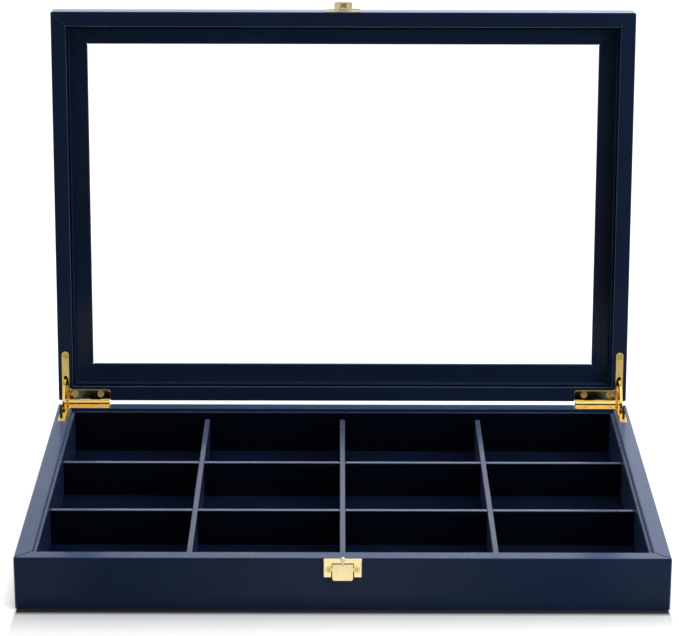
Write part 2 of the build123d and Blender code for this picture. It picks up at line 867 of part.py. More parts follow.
# Keeper: plate, hood with a blind mouth for the ball, and the tongue with its seat hole
seat_level = ball_out - sqrt(ball_radius**2 - seat_radius**2)
tongue_level = seat_level - tongue_thickness
mouth_top = hood_height - hood_wall
seat_height = ball_height - axis_z
keeper_holes = screw_holes(
    keeper_face, keeper_spots, latch_head_radius, latch_shank_radius, keeper_thickness
)
with BuildPart() as latch_keeper:
    with BuildSketch(keeper_plane):
        with Locations((0, keeper_start + keeper_length / 2)):
            RectangleRounded(2 * keeper_half_width, keeper_length, plate_round)
    extrude(amount=keeper_thickness)
    plate_faces = latch_keeper.faces().filter_by(keeper_plane)
    chamfer(plate_faces.sort_by_distance(keeper_face.origin)[0].edges(), plate_bevel)
    with BuildSketch(keeper_end.offset(-hood_start)):
        with Locations((0, keeper_thickness / 2)):
            Rectangle(
                2 * hood_half_width,
                hood_height - keeper_thickness / 2,
                align=(Align.CENTER, Align.MIN),
            )
        fillet(vertices().group_by(Axis.Y)[-1], hood_round)
    extrude(amount=-hood_length)
    with BuildSketch(keeper_end.offset(-hood_start)):
        with Locations((0, seat_level)):
            Rectangle(
                2 * mouth_half_width, mouth_top - seat_level, align=(Align.CENTER, Align.MIN)
            )
        with Locations((0, tongue_level)):
            Rectangle(2 * relief_half_width, relief_height, align=(Align.CENTER, Align.MAX))
    extrude(amount=-mouth_depth, mode=Mode.SUBTRACT)
    with BuildSketch(keeper_plane.offset(tongue_level)):
        with Locations((0, -tongue_reach)):
            Rectangle(
                2 * tongue_half_width, tongue_reach + 2 * hood_start, align=(Align.CENTER, Align.MIN)
            )
        fillet(vertices().group_by(Axis.Y)[0], tongue_round)
    extrude(amount=tongue_thickness)
    with BuildSketch(keeper_plane.offset(tongue_level)):
        with Locations((0, seat_height)):
            Circle(seat_radius + ball_fit)
    extrude(amount=tongue_thickness, mode=Mode.SUBTRACT)
    add(keeper_holes.part, mode=Mode.SUBTRACT)
save(latch_keeper, "latch_keeper")

# Screws of the keeper
keeper_screws = countersunk_screws(
    keeper_face, keeper_spots, latch_head_radius, latch_shank_radius, latch_screw_length
)
save(keeper_screws, "keeper_screws")
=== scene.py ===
from math import cos, pi, radians, sin

import bmesh
import bpy
import numpy as np
from mathutils import Matrix, Vector


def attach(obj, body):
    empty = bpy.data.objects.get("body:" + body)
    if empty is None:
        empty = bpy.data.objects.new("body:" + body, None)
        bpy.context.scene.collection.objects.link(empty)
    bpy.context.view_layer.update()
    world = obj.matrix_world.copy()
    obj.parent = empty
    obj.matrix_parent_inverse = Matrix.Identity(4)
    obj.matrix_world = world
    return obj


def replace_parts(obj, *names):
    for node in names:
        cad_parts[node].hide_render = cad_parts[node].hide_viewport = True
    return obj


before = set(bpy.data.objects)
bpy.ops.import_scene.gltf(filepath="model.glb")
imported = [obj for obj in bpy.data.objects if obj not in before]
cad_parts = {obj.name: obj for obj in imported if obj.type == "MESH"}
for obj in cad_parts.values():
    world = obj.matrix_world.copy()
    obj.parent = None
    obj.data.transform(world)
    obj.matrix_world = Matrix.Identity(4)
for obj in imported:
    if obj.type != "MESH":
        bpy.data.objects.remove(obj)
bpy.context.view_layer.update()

# A jewelry display tray: a box of navy leatherette over board, with twelve compartments, a lid with a
# glass window, brass stay hinges and a brass snap latch. Sizes of pieces and patterns are in millimetres
# until a mesh is made, and those of the stage in metres.


# Boards of the walls and of the lid's rails: grey bookbinder's board, mitred and glued at the corners.
# They are sealed in leatherette, so they only show inside the pockets that are cut for the hinges,
# where their edges are coloured near black.
SIDES = {"front": 0, "right": 1, "back": 2, "left": 3}  # how many quarter turns each is from the front
BOARD_FIBRE = 1.5


def linear(code):
    """sRGB hex as linear colour: c / 12.92 up to 0.04045, and above it ((c + 0.055) / 1.055) ** 2.4."""
    c = np.array([int(code[i:i + 2], 16) for i in (0, 2, 4)]) / 255
    return (*np.where(c > 0.04045, ((c + 0.055) / 1.055) ** 2.4, c / 12.92).tolist(), 1.0)


def add(finish, kind, inputs=None, **settings):
    """Adds one node to a finish with its settings; inputs are values, or output sockets to link."""
    made = finish.node_tree.nodes.new("ShaderNode" + kind)
    for key, value in settings.items():
        setattr(made, key, value)
    for key, value in (inputs or {}).items():
        if isinstance(value, bpy.types.NodeSocket):
            finish.node_tree.links.new(value, made.inputs[key])
        else:
            made.inputs[key].default_value = value
    return made


def new_finish(name):
    """A finish with no nodes in it yet."""
    finish = bpy.data.materials.new(name)
    finish.use_nodes = True
    finish.node_tree.nodes.clear()
    return finish


def paint(names, finish):
    """Gives CAD pieces that are shown as they are their finish."""
    for name in names:
        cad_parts[name].data.materials.clear()
        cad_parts[name].data.materials.append(finish)


# Pressed grey board: matt, with a fleck of coarse fibre
greyboard = new_finish("greyboard")
spot = add(greyboard, "TexCoord").outputs["Object"]
fleck = add(greyboard, "TexNoise", {"Vector": spot, "Scale": 1000 / BOARD_FIBRE, "Detail": 3.0})
shade = add(greyboard, "Mix", {0: fleck.outputs[0], 6: linear("14161c"), 7: linear("22242a")},
            data_type="RGBA")
dent = add(greyboard, "Bump", {"Height": fleck.outputs[0], "Strength": 0.3, "Distance": 5e-5})
body = add(greyboard, "BsdfPrincipled", {"Base Color": shade.outputs[2], "Roughness": 0.9,
                                         "Normal": dent.outputs[0]})
add(greyboard, "OutputMaterial", {"Surface": body.outputs[0]})
paint([f"base_{side}_board" for side in SIDES] + [f"lid_{side}_rail" for side in SIDES], greyboard)


# Leatherette of the walls and the lid: polyurethane-coated cloth with a fine pebbled emboss and a low
# sheen, cut in strips that are glued round the boards, turned in at their edges and mitred at the
# corners. The hinges are let into it, so their mortises and pockets are cut through it.
TRAY_WIDTH, TRAY_DEPTH = 350.0, 240.0
WALL = 9.0
COVER = 0.78
RIM_ROUND = 0.82  # this and the next stay above the cover's thickness, or its inner layer would fold over
CORNER_ROUND = 0.9
SEAM_DEPTH = 0.22
SEAM_WIDTH = 0.35
BASE_TOP = 30.0
BASE_FOOT = 0.5
RABBET_TOP = 2.7
RABBET_EDGE = 5.0
HEM_ROUND = 0.4
LID_RIM = 0.15
LID_TOP = 14.85
FRAME_LEVEL = 11.95
FRAME_WIDTH = 20.7
WINDOW_ROUND = 0.8
AXIS_Y, AXIS_Z = 121.2, 30.15
LEAN = radians(5.0)
SOFT_ANGLE = radians(32)
WELD = 1e-6


def rounded_path(corners, radii, closed, steps=6):
    """A path with rounded corners, and the outward normal at each of its points.

    The path runs with its solid on the left. At a corner c between the unit directions d and e, an arc
    of radius r starts at c - d T, with T = r tan(turn / 2), and its centre is c + (e - d) r / (|e - d|
    cos(turn / 2)). A sharp corner keeps one point, with the normal (m + n) / (1 + m n) of its two edges.
    """
    corners = np.array(corners, float)
    count = len(corners)
    points, normals = [], []
    for i, (corner, r) in enumerate(zip(corners, radii)):
        at_end = not closed and i in (0, count - 1)
        d = corner - corners[i - 1]
        e = corners[(i + 1) % count] - corner
        d, e = (e, e) if at_end and i == 0 else (d, d) if at_end else (d, e)
        d, e = d / np.hypot(*d), e / np.hypot(*e)
        m, n = np.array([d[1], -d[0]]), np.array([e[1], -e[0]])
        if at_end or r == 0:
            points.append(corner)
            normals.append((m + n) / (1 + m @ n))
            continue
        turn = np.arccos(np.clip(d @ e, -1, 1))
        bend = 1 if d[0] * e[1] - d[1] * e[0] > 0 else -1
        centre = corner + (e - d) / np.hypot(*(e - d)) * r / cos(turn / 2)
        for f in np.linspace(0, 1, steps + 1):
            out = (m * sin((1 - f) * turn) + n * sin(f * turn)) / sin(turn)
            points.append(centre + bend * out * r)
            normals.append(out)
    return np.array(points), np.array(normals)


def lay_in_tray(points):
    """Points of the closed tray are already in the tray's own frame."""
    return points


def lay_in_lid(points):
    """Points (x, y, t) of the closed lid, with t above the hinge axis, turned up to the open lid.

    With s = axis y - y, the open lid has y = axis y + s sin(lean) + t cos(lean) and
    z = axis z + s cos(lean) - t sin(lean).
    """
    s, t = AXIS_Y - points[..., 1], points[..., 2]
    return np.stack([points[..., 0], AXIS_Y + s * sin(LEAN) + t * cos(LEAN),
                     AXIS_Z + s * cos(LEAN) - t * sin(LEAN)], axis=-1)


def new_piece(name, points, faces, finishes, body, marks=None):
    """A piece from points in millimetres and faces, with its normals made to point outwards.

    marks gives the number of the finish of each face.
    """
    mesh = bpy.data.meshes.new(name)
    mesh.from_pydata((points * 0.001).tolist(), [], [list(map(int, face)) for face in faces])
    for finish in finishes:
        mesh.materials.append(finish)
    if marks is not None:
        mesh.polygons.foreach_set("material_index", np.asarray(marks, np.int32))
    piece = bpy.data.objects.new(name, mesh)
    bpy.context.scene.collection.objects.link(piece)
    shade_soft(mesh)
    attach(piece, body)
    return level_faces(piece)


def shade_soft(mesh):
    """Joins doubled corners, turns the faces outwards, and shades all but the sharp edges soft."""
    shell = bmesh.new()
    shell.from_mesh(mesh)
    bmesh.ops.remove_doubles(shell, verts=shell.verts, dist=WELD)
    bmesh.ops.dissolve_degenerate(shell, edges=shell.edges, dist=WELD / 10)
    bmesh.ops.recalc_face_normals(shell, faces=shell.faces)
    shell.to_mesh(mesh)
    shell.free()
    mesh.polygons.foreach_set("use_smooth", np.ones(len(mesh.polygons), bool))
    mesh.set_sharp_from_angle(angle=SOFT_ANGLE)


def level_faces(piece):
    """Lets the large faces lead the shading at rounded edges, so that flat faces look flat."""
    change = piece.modifiers.new("level_faces", "WEIGHTED_NORMAL")
    change.keep_sharp = True
    change.weight = 100  # the largest there is
    return piece


def grid_faces(rows, columns, start=0, wrap=False):
    """Quads of a grid of points numbered row by row; wrap joins the last row to the first."""
    r = np.arange(rows if wrap else rows - 1)[:, None]
    c = np.arange(columns - 1)[None, :]
    here, above = r * columns + c, (r + 1) % rows * columns + c
    return (np.stack([here, here + 1, above + 1, above], axis=-1).reshape(-1, 4) + start).tolist()


def turned_side(side, s, a, h):
    """Points at s along a side, a in from its outer face and h up, in the closed tray's frame."""
    quarter = SIDES[side]
    reach = TRAY_DEPTH if quarter % 2 == 0 else TRAY_WIDTH
    y = a - reach / 2
    x, y = [(s, y), (-y, s), (-s, -y), (y, -s)][quarter]
    return np.stack([x, y, h], axis=-1)


def wrapped_strip(side, path, normals, closed):
    """Points and faces of a hollow strip round a mitred board.

    A profile point at depth a stands at s = run / 2 - a - e, at the distance e from the mitre. Less deep
    than the corner's rounding R, the last (R - a) pi / 4 bends round the corner, where
    s = run / 2 - R + (R - a) sin f and a' = R - (R - a) cos f. The outer layer dips by
    depth exp(-(e / width)^2) at the seam, and the inner layer lies one thickness inside it. The distances
    e are close together at the seam and the corner, and even from there to the middle of the side.
    """
    run = TRAY_WIDTH if SIDES[side] % 2 == 0 else TRAY_DEPTH
    near = np.array([0, 0.08, 0.16, 0.26, 0.38, 0.52, 0.7, 0.95, 1.4, 2.2, 4, 8])
    share = np.linspace(0, 1, 9)[1:]
    layers = []
    for depth in (0.0, COVER):
        inside = path - normals * depth
        a = inside[:, :1]
        arc = np.maximum(CORNER_ROUND - a, 0) * pi / 4
        half = arc + run / 2 - np.maximum(a, CORNER_ROUND)
        e = np.concatenate([np.broadcast_to(near, (len(a), len(near))),
                            near[-1] + (half - near[-1]) * share], axis=1)
        f = np.where(e < arc, (arc - e) / np.maximum(CORNER_ROUND - a, 1e-9), 0)
        s = run / 2 - np.maximum(a, CORNER_ROUND) - np.maximum(e - arc, 0) + np.where(
            e < arc, np.maximum(CORNER_ROUND - a, 0) * np.sin(f), 0)
        deep = np.where(a < CORNER_ROUND, CORNER_ROUND - (CORNER_ROUND - a) * np.cos(f), a)
        dip = SEAM_DEPTH * np.exp(-(e / SEAM_WIDTH) ** 2) if depth == 0 else 0 * e
        deep = deep - normals[:, :1] * dip * np.cos(f)
        s = s + normals[:, :1] * dip * np.sin(f)
        high = inside[:, 1:] - normals[:, 1:] * dip
        s, deep, high = [np.concatenate([sign * v, v[:, -2::-1]], axis=1)
                         for v, sign in ((s, -1), (deep, 1), (high, 1))]
        layers.append(turned_side(side, s, deep, high))
    rows, columns = layers[0].shape[:2]
    size = rows * columns
    faces = grid_faces(rows, columns, 0, closed) + grid_faces(rows, columns, size, closed)
    for end in (0, columns - 1):
        r = np.arange(rows if closed else rows - 1)
        here, above = r * columns + end, (r + 1) % rows * columns + end
        faces += np.stack([here, above, above + size, here + size], axis=-1).tolist()
    if not closed:
        for row in (0, rows - 1):
            c = row * columns + np.arange(columns - 1)
            faces += np.stack([c, c + 1, c + 1 + size, c + size], axis=-1).tolist()
    return np.concatenate([layer.reshape(-1, 3) for layer in layers]), faces


def prism(name, outline, low, high, place):
    """A closed prism over an outline, from one level to another, to cut with."""
    count = len(outline)
    points = np.concatenate([np.column_stack([outline, np.full(count, level)]) for level in (low, high)])
    ring = np.arange(count)
    after = (ring + 1) % count
    walls = np.stack([ring, after, after + count, ring + count], axis=-1).tolist()
    mesh = bpy.data.meshes.new(name)
    mesh.from_pydata((place(points) * 0.001).tolist(), [], [ring.tolist(), (ring + count).tolist()] + walls)
    tool = bpy.data.objects.new(name, mesh)
    bpy.context.scene.collection.objects.link(tool)
    shade_soft(mesh)
    return tool


def finished_mesh(piece):
    """Puts what the modifiers make of a piece in its mesh's place, and takes the modifiers off."""
    bpy.context.view_layer.update()
    rough = piece.data
    piece.data = bpy.data.meshes.new_from_object(piece.evaluated_get(bpy.context.evaluated_depsgraph_get()))
    piece.modifiers.clear()
    piece.data.name = piece.name
    bpy.data.meshes.remove(rough)


def cut(piece, tools):
    """Takes the tools' shapes out of a piece."""
    piece.modifiers.clear()
    for tool in tools:
        change = piece.modifiers.new("cut", "BOOLEAN")
        change.operation = "DIFFERENCE"
        change.solver = "EXACT"
        change.object = tool
    finished_mesh(piece)
    shade_soft(piece.data)
    level_faces(piece)


# The hinge mortises: an L of two legs flush in the rim, room for the barrel, and a slot for the arm. The
# sign of a hand is the side of the tray's middle that it is on, and the swings are in degrees.
HANDS = {"left": -1, "right": 1}
LEAF_THICKNESS = 1.5
MORTISE_PLAY = 0.1
LEAF_CORNERS = [(1.9, 0), (32.2, 0), (32.2, 8.5), (7.1, 8.5), (7.1, 32.5), (1.9, 32.5)]
LEAF_ROUNDS = [0, 0, 2.0, 0.8, 2.6, 2.6]
BARREL_ROOM = 2.3
BARREL_SPAN = (2.05, 31.95)
ARM_RADIUS = 13.5
ARM_SLOT = (2.5, 6.5)
ARM_ROOM = 2.5
STOP_ANGLE = 11.7
ARM_SWINGS = {"base": 55.1, "lid": 39.9}
SWING_ROOM = (8, 6)


def hinge_cutters(half, hand):
    """The shapes that one hinge takes out of a half, with depths measured into it from the hinge axis."""
    sign = HANDS[hand]

    def place(points):
        """Points (distance from the side face, distance in front of the axis, depth) in the tray."""
        x = sign * (TRAY_WIDTH / 2 - points[:, 0])
        y = AXIS_Y - points[:, 1]
        if half == "lid":
            return lay_in_lid(np.column_stack([x, y, points[:, 2]]))
        return np.column_stack([x, y, AXIS_Z - points[:, 2]])

    def across(points):
        """Points (distance in front of the axis, depth, distance from the side face)."""
        return place(points[:, [2, 0, 1]])

    path, normals = rounded_path(LEAF_CORNERS, LEAF_ROUNDS, True)
    turns = np.linspace(0, 2 * pi, 33)[:-1]
    barrel = BARREL_ROOM * np.column_stack([np.cos(turns), np.sin(turns)])
    sweep = np.radians(np.linspace(-SWING_ROOM[0], STOP_ANGLE + ARM_SWINGS[half] + SWING_ROOM[1], 24))
    rim = np.column_stack([np.cos(sweep), np.sin(sweep)])
    slot = np.concatenate([rim * (ARM_RADIUS + ARM_ROOM), rim[::-1] * (ARM_RADIUS - ARM_ROOM)])
    above_rim = -2.0
    return [prism("mortise", path + normals * MORTISE_PLAY, above_rim, LID_RIM + LEAF_THICKNESS, place),
            prism("barrel_room", barrel, *BARREL_SPAN, across),
            prism("arm_slot", slot, *ARM_SLOT, across)]


# Polyurethane-coated cloth with a smooth, shallow pebble emboss and finer creases, both drawn a little
# coarser than on the object so that they show, and broad clouds of lighter and glossier skin. The coat
# gives a soft sheen that pales to blue-grey at a flat angle.
PEBBLE = 0.9
CREASE = 0.3
WANDER = 2.5
WANDER_REACH = 0.6
CLOUD = 38.0


def leatherette(name, dark, light, sheen, tint):
    """The coated cloth in a shade of navy, with that much of a tinted sheen."""
    finish = new_finish(name)
    spot = add(finish, "TexCoord").outputs["Object"]
    wander = add(finish, "TexNoise", {"Vector": spot, "Scale": 1000 / WANDER, "Detail": 2.0})
    shifted = add(finish, "VectorMath", {0: wander.outputs["Color"], 1: (WANDER_REACH / 1000,) * 3, 2: spot},
                  operation="MULTIPLY_ADD")
    pebble = add(finish, "TexVoronoi", {"Vector": shifted.outputs[0], "Scale": 1000 / PEBBLE},
                 feature="SMOOTH_F1")
    crease = add(finish, "TexNoise", {"Vector": spot, "Scale": 1000 / CREASE, "Detail": 3.0})
    height = add(finish, "Math", {0: crease.outputs[0], 1: 0.15, 2: pebble.outputs["Distance"]},
                 operation="MULTIPLY_ADD")
    dent = add(finish, "Bump", {"Height": height.outputs[0], "Strength": 0.14, "Distance": 2.5e-5},
               invert=True)
    cloud = add(finish, "TexNoise", {"Vector": spot, "Scale": 1000 / CLOUD, "Detail": 4.0})
    shade = add(finish, "Mix", {0: cloud.outputs[0], 6: linear(dark), 7: linear(light)}, data_type="RGBA")
    gloss = add(finish, "MapRange", {"Value": cloud.outputs[0], "From Min": 0.3, "From Max": 0.7,
                                     "To Min": 0.26, "To Max": 0.34})
    skin = add(finish, "BsdfPrincipled", {
        "Base Color": shade.outputs[2], "Roughness": gloss.outputs[0], "Specular Tint": linear("242020"),
        "Coat Weight": 1.0, "Coat IOR": 1.17, "Coat Roughness": 0.15,
        "Sheen Weight": sheen, "Sheen Roughness": 0.5, "Sheen Tint": linear(tint),
        "Normal": dent.outputs[0]})
    add(finish, "OutputMaterial", {"Surface": skin.outputs[0]})
    return finish


navy_leatherette = leatherette("navy_leatherette", "070f1b", "091528", 0.66, "7aa0e4")

base_path, base_normals = rounded_path(
    [(WALL, RABBET_TOP), (WALL, BASE_TOP), (0, BASE_TOP), (0, BASE_FOOT), (RABBET_EDGE, BASE_FOOT)],
    [0, RIM_ROUND, RIM_ROUND, HEM_ROUND, 0], False)
lid_path, lid_normals = rounded_path(
    [(0, LID_RIM), (WALL, LID_RIM), (WALL, FRAME_LEVEL), (FRAME_WIDTH, FRAME_LEVEL),
     (FRAME_WIDTH, LID_TOP), (0, LID_TOP)],
    [RIM_ROUND, RIM_ROUND, 0, WINDOW_ROUND, WINDOW_ROUND, RIM_ROUND], True)
for half, path, normals, closed, place in (
        ("base", base_path, base_normals, False, lay_in_tray),
        ("lid", lid_path, lid_normals, True, lay_in_lid)):
    tools = {hand: hinge_cutters(half, hand) for hand in HANDS}
    for side in SIDES:
        points, faces = wrapped_strip(side, path, normals, closed)
        piece = new_piece(f"{half}_{side}_leatherette", place(points), faces, [navy_leatherette],
                          half)
        if side == "back":
            cut(piece, tools["left"] + tools["right"])
        elif side != "front":
            cut(piece, tools[side])
        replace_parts(piece, f"{half}_{side}_cover")
    for tool in tools["left"] + tools["right"]:
        bpy.data.meshes.remove(tool.data)


# Floor of the tray: a bottom board let into the walls, felt glued under it for the tray to stand on,
# and a flat-napped navy cloth glued on top as the lining of the compartments. The cloth is pulled thin
# at its edges and a little uneven over the glue.
FLOOR_TOP = 3.2
LINING = 0.5
LINING_SIZE = (331.6, 221.6)
SWELL = 0.03
SWELL_RUNS = (17, 13)
EDGE_DROP = 0.2
NAP_PATCH = 22.0


def napped_cloth(name, dark, light, spacing):
    """Matt cloth with a short nap: fine fibre flecks at that spacing in mm, and brushed light patches."""
    finish = new_finish(name)
    spot = add(finish, "TexCoord").outputs["Object"]
    fibre = add(finish, "TexNoise", {"Vector": spot, "Scale": 1000 / spacing, "Detail": 4.0,
                                     "Roughness": 0.7})
    brushed = add(finish, "TexNoise", {"Vector": spot, "Scale": 1000 / NAP_PATCH, "Detail": 2.0})
    blend = add(finish, "Math", {0: fibre.outputs[0], 1: 0.5, 2: brushed.outputs[0]},
                operation="MULTIPLY_ADD")
    part = add(finish, "MapRange", {"Value": blend.outputs[0], "From Min": 0.5, "From Max": 1.0})
    shade = add(finish, "Mix", {0: part.outputs[0], 6: linear(dark), 7: linear(light)}, data_type="RGBA")
    dent = add(finish, "Bump", {"Height": fibre.outputs[0], "Strength": 0.5, "Distance": 8e-5})
    nap = add(finish, "BsdfPrincipled", {
        "Base Color": shade.outputs[2], "Roughness": 0.95, "Specular IOR Level": 0.1,
        "Sheen Weight": 0.15, "Sheen Roughness": 0.5, "Sheen Tint": linear("2c4a90"),
        "Normal": dent.outputs[0]})
    add(finish, "OutputMaterial", {"Surface": nap.outputs[0]})
    return finish


suede_lining = napped_cloth("suede_lining", "020816", "04102a", 0.35)
black_felt = napped_cloth("black_felt", "0a0c12", "14161e", 0.6)
paint(["bottom_board"], greyboard)
paint(["underside_felt"], black_felt)

# Height of the lining's top over its plan: z = top - swell (1 + sin(x / run) sin(y / run)) - drop exp(-d)
# with d the distance to the nearest edge in mm
x, y = np.meshgrid(np.linspace(-LINING_SIZE[0] / 2, LINING_SIZE[0] / 2, 120),
                   np.linspace(-LINING_SIZE[1] / 2, LINING_SIZE[1] / 2, 84))
edge = np.minimum(LINING_SIZE[0] / 2 - np.abs(x), LINING_SIZE[1] / 2 - np.abs(y))
top = (FLOOR_TOP - SWELL * (1 + np.sin(x / SWELL_RUNS[0]) * np.sin(y / SWELL_RUNS[1]))
       - EDGE_DROP * np.exp(-edge))
foot = np.full_like(top, FLOOR_TOP - LINING)
rows, columns = x.shape
size = rows * columns
faces = grid_faces(rows, columns) + grid_faces(rows, columns, size)
for rim in (np.arange(columns), (rows - 1) * columns + np.arange(columns),
            np.arange(rows) * columns, np.arange(rows) * columns + columns - 1):
    faces += np.stack([rim[:-1], rim[1:], rim[1:] + size, rim[:-1] + size], axis=-1).tolist()
points = np.concatenate([np.stack([x, y, z], axis=-1).reshape(-1, 3) for z in (top, foot)])
lining = new_piece("lining_cloth", points, faces, [suede_lining], "base")
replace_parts(lining, "floor_lining")


# Liner strips round the inside and the dividers between the compartments: thin board wrapped in the same
# leatherette, with rounded tops. They take lit and shaded copies of the leatherette: a near-black side copy
# with little sheen is painted shade, the top copies are painted light, and the tops across are paler still,
# a painted highlight. The dividers from front to back run through, and those across are notched from above
# at each crossing, with small rounds beside it.
LINER = 2.0
LINER_TOP = 28.4
LINER_ROUND = 0.7
DIVIDER = 3.0
DIVIDER_TOP = 23.8
DIVIDER_ROUND = 0.4
WELL = (328.0, 218.0)
LINER_PLAY = 0.2
DIVIDER_PLAY = 0.15
COLUMN_PITCH, ROW_PITCH = 82.75, 221 / 3
NOTCH = 1.55
NOTCH_PLAY = 0.05
END_ROUND = 0.6
# Lit and shaded copies of one leatherette: the sides' near-black copy is painted shade, the tops' copies are
# painted light, and the tops across are a painted highlight
painted_shade_side_finish = leatherette("navy_painted_shade_side_finish", "010206", "02050c", 0.1, "7c9cec")
liner_painted_lit_top_finish = leatherette("navy_liner_painted_lit_top_finish", "060b18", "0a1226", 0.5, "8aa6e8")
divider_painted_lit_top_finish = leatherette("navy_divider_painted_lit_top_finish", "060b18", "0a1226", 0.65, "9ab0e0")
cross_painted_highlight_top_finish = leatherette("navy_cross_divider_painted_highlight_top_finish", "1c2438", "283048", 1.0, "b0c0e4")


def wrapped_board(name, stations, low, high, width, rounding, place, finishes, replaced):
    """A board strip with a rounded top, carried along its stations between its low and high edges.

    Across the strip the top is z = high - r (1 - sin f) over the last r = rounding of each side, at
    w = width / 2 - r (1 - cos f), with f from 0 to 90 degrees. The top takes the second finish.
    """
    f = np.radians(np.linspace(0, 90, 7))
    w = width / 2 - rounding * (1 - np.cos(f))
    drop = rounding * (1 - np.sin(f))
    w = np.concatenate([[width / 2], w, -w[::-1], [-width / 2]])
    drop = np.concatenate([[0], drop, drop[::-1], [0]])
    z = high[None, :] - drop[:, None]
    z[[0, -1]] = low
    s = np.broadcast_to(stations, z.shape)
    points = place(s, np.broadcast_to(w[:, None], z.shape), z).reshape(-1, 3)
    rows, columns = z.shape
    faces = grid_faces(rows, columns, 0, True)
    faces += [(np.arange(rows) * columns + end).tolist() for end in (0, columns - 1)]
    # Top faces take the lit copy, painted light, and the other faces the shaded copy, painted shade
    on_top = np.repeat((np.arange(rows) > 0) & (np.arange(rows) < rows - 2), columns - 1)
    piece = new_piece(name, points, faces, finishes, "base", [*on_top, 0, 0])
    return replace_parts(piece, replaced)


def lay_along_x(y):
    """Places a strip that runs along X at that y."""
    return lambda s, w, z: np.stack([s, w + y, z], axis=-1)


def lay_along_y(x):
    """Places a strip that runs along Y at that x."""
    return lambda s, w, z: np.stack([w + x, s, z], axis=-1)


def rounded_ends(length, height):
    """Stations of a strip whose top corners at both ends are rounded, with the top's height at each.

    Over the last r = end rounding, s = length / 2 - r (1 - sin f) and z = height - r (1 - cos f), with f
    from 0 to 90 degrees.
    """
    f = np.radians(np.linspace(0, 90, 6))
    run = END_ROUND * (1 - np.sin(f))
    fall = END_ROUND * (1 - np.cos(f))
    s = np.concatenate([-length / 2 + run[::-1], np.linspace(-length / 2, length / 2, 14)[1:-1],
                        length / 2 - run])
    top = np.concatenate([height - fall[::-1], np.full(len(s) - 2 * len(f), height), height - fall])
    order = np.argsort(s, kind="stable")
    return s[order], top[order]


for side, (place, length) in {
        "front": (lay_along_x(-(WELL[1] + LINER) / 2), WELL[0] + 2 * LINER - LINER_PLAY),
        "back": (lay_along_x((WELL[1] + LINER) / 2), WELL[0] + 2 * LINER - LINER_PLAY),
        "left": (lay_along_y(-(WELL[0] + LINER) / 2), WELL[1] - LINER_PLAY),
        "right": (lay_along_y((WELL[0] + LINER) / 2), WELL[1] - LINER_PLAY)}.items():
    s = np.linspace(-length / 2, length / 2, 24)
    wrapped_board(f"liner_{side}_leatherette", s, np.full_like(s, FLOOR_TOP), np.full_like(s, LINER_TOP),
                  LINER, LINER_ROUND, place, [painted_shade_side_finish, liner_painted_lit_top_finish], f"liner_{side}")
half_up = (FLOOR_TOP + DIVIDER_TOP) / 2
columns_at = {"left": -COLUMN_PITCH, "centre": 0.0, "right": COLUMN_PITCH}
rows_at = {"front": -ROW_PITCH / 2, "back": ROW_PITCH / 2}
across_end, along_end = [size / 2 - DIVIDER_PLAY for size in WELL]
for name, x in columns_at.items():
    notches = [y + e * NOTCH for y in rows_at.values() for e in (-1, 1)]
    s = np.array([-along_end, *np.repeat(notches, 2), along_end])
    in_notch = [0, 0, 1, 1, 0, 0, 1, 1, 0, 0]
    low = np.where(in_notch, half_up + NOTCH_PLAY, FLOOR_TOP)
    wrapped_board(f"divider_{name}_leatherette", s, low, np.full_like(s, DIVIDER_TOP), DIVIDER,
                  DIVIDER_ROUND, lay_along_y(x), [painted_shade_side_finish, divider_painted_lit_top_finish],
                  f"long_divider_{name}")
for name, y in rows_at.items():
    notches = [x + e * NOTCH for x in columns_at.values() for e in (-1, 1)]
    bounds = [-across_end, *notches, across_end]
    s, top = [], []
    for first, last in zip(bounds[::2], bounds[1::2]):
        steps, heights = rounded_ends(last - first, DIVIDER_TOP)
        s += [first, *(steps + (first + last) / 2), last]
        top += [half_up, *heights, half_up]
    s, top = np.array(s[1:-1]), np.array(top[1:-1])
    wrapped_board(f"divider_{name}_across_leatherette", s, np.full_like(s, FLOOR_TOP), top, DIVIDER,
                  DIVIDER_ROUND, lay_along_x(y), [painted_shade_side_finish, cross_painted_highlight_top_finish],
                  f"cross_divider_{name}")


# Glass of the lid's window: a 2 mm pane of clear float glass laid on the frame from inside, held by thin
# wrapped strips along the walls. It is polished and clean, and its IOR is set below that of glass, because
# it mirrors almost nothing. Light that only falls through it takes the short way of a clear film.
HAZE = 60.0
clear_glass = new_finish("clear_float_glass")
spot = add(clear_glass, "TexCoord").outputs["Object"]
haze = add(clear_glass, "TexNoise", {"Vector": spot, "Scale": 1000 / HAZE, "Detail": 2.0})
tint = add(clear_glass, "Mix", {0: haze.outputs[0], 6: linear("ffffff"), 7: linear("fbfdfd")},
           data_type="RGBA")
pane = add(clear_glass, "BsdfPrincipled", {
    "Base Color": tint.outputs[2], "Roughness": 0.0, "IOR": 1.15,
    "Transmission Weight": 1.0})
light = add(clear_glass, "LightPath")
shadowed = add(clear_glass, "Math", {0: light.outputs["Is Shadow Ray"], 1: light.outputs["Is Diffuse Ray"]},
               operation="MAXIMUM")
through = add(clear_glass, "BsdfTransparent", {"Color": linear("fafcfc")})
both = add(clear_glass, "MixShader", {0: shadowed.outputs[0], 1: pane.outputs[0], 2: through.outputs[0]})
add(clear_glass, "OutputMaterial", {"Surface": both.outputs[0]})
paint(["lid_glass"], clear_glass)
# The retainer strips take a near-black copy of the leatherette with little sheen: painted shade
retainer_painted_shade_finish = leatherette("navy_retainer_painted_shade_finish", "010206", "02050c", 0.1, "7498f0")
paint([f"glass_retainer_{side}" for side in SIDES], retainer_painted_shade_finish)


